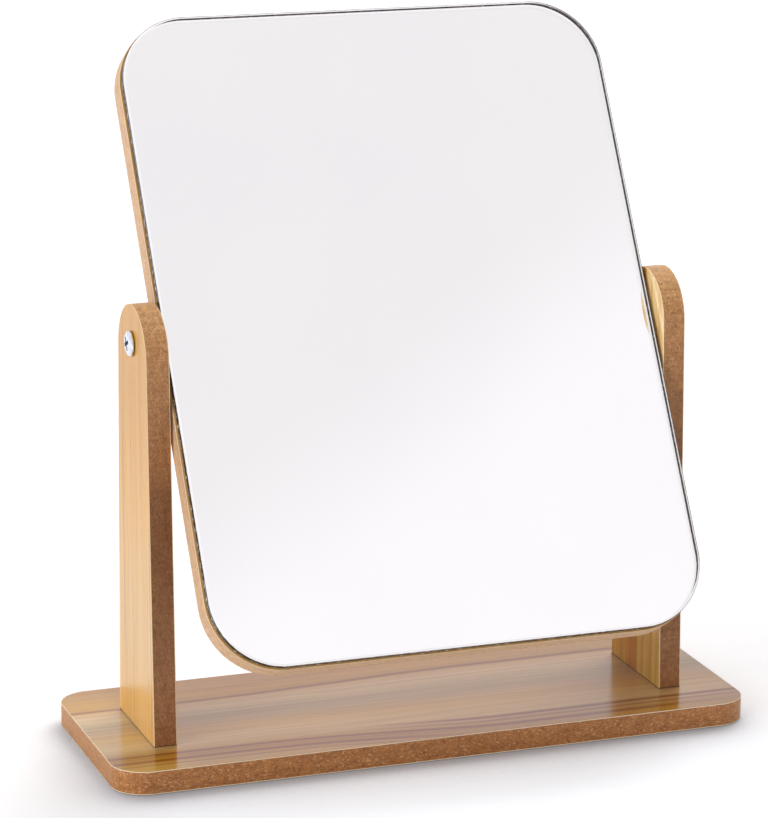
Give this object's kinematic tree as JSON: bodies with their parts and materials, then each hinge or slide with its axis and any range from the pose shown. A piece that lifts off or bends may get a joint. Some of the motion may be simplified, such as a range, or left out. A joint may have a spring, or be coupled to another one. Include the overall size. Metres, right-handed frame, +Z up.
{
  "type": "table mirror",
  "caption": "Rectangular tilting table mirror with round corners, carried on side pivots between tapered wooden uprights that stand on a flat wooden base.",
  "frame": {"origin": "middle of the base's underside, which rests on the table", "axes": "+X to the right seen from the front, +Y to the back, +Z up; the pivot axis is parallel to X; at rest the mirror leans back by 31 degrees"},
  "size_m": [0.255, 0.1412, 0.2698],
  "materials": {
    "raw_fibreboard": "raw sawn and sanded edge, mottled brown, matt",
    "pale_fibreboard": "raw sawn and sanded edge, pale, matt",
    "wood_grain_laminate": "wood-grain laminate, satin",
    "zinc_plated_steel": "bright zinc plate",
    "mirror_silver": "silvered, painted behind",
    "float_glass": "polished, narrow ground bevel",
    "foam_tape": "double-sided tape",
    "nylon": "moulded nylon, natural"
  },
  "bodies": {
    "stand": {"base_core": "raw_fibreboard", "base_top_laminate": "wood_grain_laminate", "base_bottom_laminate": "wood_grain_laminate", "left_upright_core": "raw_fibreboard", "left_upright_outer_laminate": "wood_grain_laminate", "left_upright_inner_laminate": "wood_grain_laminate", "right_upright_core": "raw_fibreboard", "right_upright_outer_laminate": "wood_grain_laminate", "right_upright_inner_laminate": "wood_grain_laminate", "left_front_base_screw": "zinc_plated_steel", "left_rear_base_screw": "zinc_plated_steel", "right_front_base_screw": "zinc_plated_steel", "right_rear_base_screw": "zinc_plated_steel"},
    "mirror": {"mirror_board_core": "pale_fibreboard", "mirror_board_front_laminate": "wood_grain_laminate", "mirror_board_rear_laminate": "wood_grain_laminate", "mirror_tape_top": "foam_tape", "mirror_tape_middle": "foam_tape", "mirror_tape_bottom": "foam_tape", "mirror_silvering": "mirror_silver", "mirror_glass": "float_glass", "left_pivot_screw": "zinc_plated_steel", "right_pivot_screw": "zinc_plated_steel", "left_pivot_washer": "nylon", "right_pivot_washer": "nylon"}
  },
  "joints": [
    {"name": "mirror_tilt", "type": "hinge", "parent": "stand", "child": "mirror", "pos_m": [0, 0, 0.159], "axis": [1, 0, 0], "continuous": true}
  ]
}
